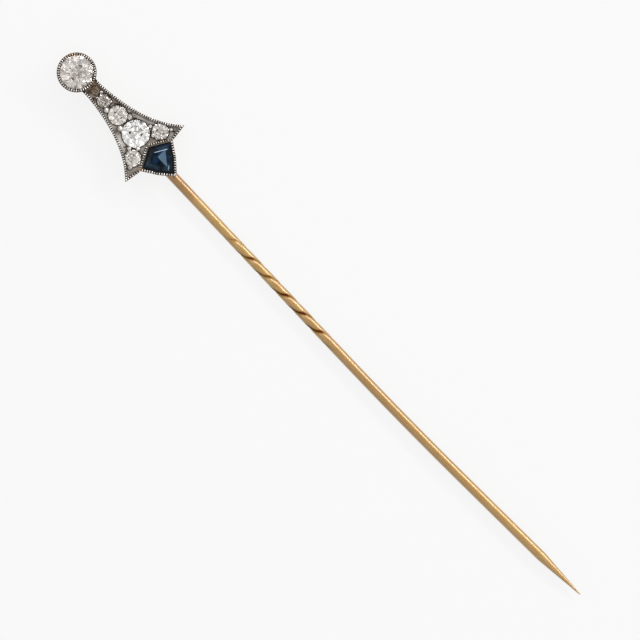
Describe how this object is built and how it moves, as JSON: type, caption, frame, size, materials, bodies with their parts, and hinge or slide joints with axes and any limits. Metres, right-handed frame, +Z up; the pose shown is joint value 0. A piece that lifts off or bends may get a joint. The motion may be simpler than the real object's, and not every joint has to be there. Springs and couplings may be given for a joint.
{
  "type": "tie pin",
  "caption": "Stick pin with a flared white metal head of old cut diamonds and a kite shaped sapphire, on a gold shaft with a twisted grip and a tapered point.",
  "frame": {"origin": "under the middle of the whole pin as it lies face up, on the plane of the head's back", "axes": "+X along the pin towards its point, +Y across the head, +Z up out of the head's face"},
  "size_m": [0.0698, 0.0076, 0.003],
  "materials": {
    "gold": "worn polished yellow gold with brown tarnish in the grooves",
    "white_metal": "worn, slightly tarnished platinum",
    "diamond": "faceted old cut stone",
    "dull_diamond": "small stone clouded by dirt",
    "sapphire": "faceted dark blue stone"
  },
  "bodies": {
    "root": {"pin": "gold", "setting": "white_metal", "top_diamond": "diamond", "neck_diamond": "dull_diamond", "second_diamond": "diamond", "third_diamond": "diamond", "main_diamond": "diamond", "left_wing_diamond": "diamond", "right_wing_diamond": "diamond", "kite_sapphire": "sapphire"}
  },
  "joints": []
}
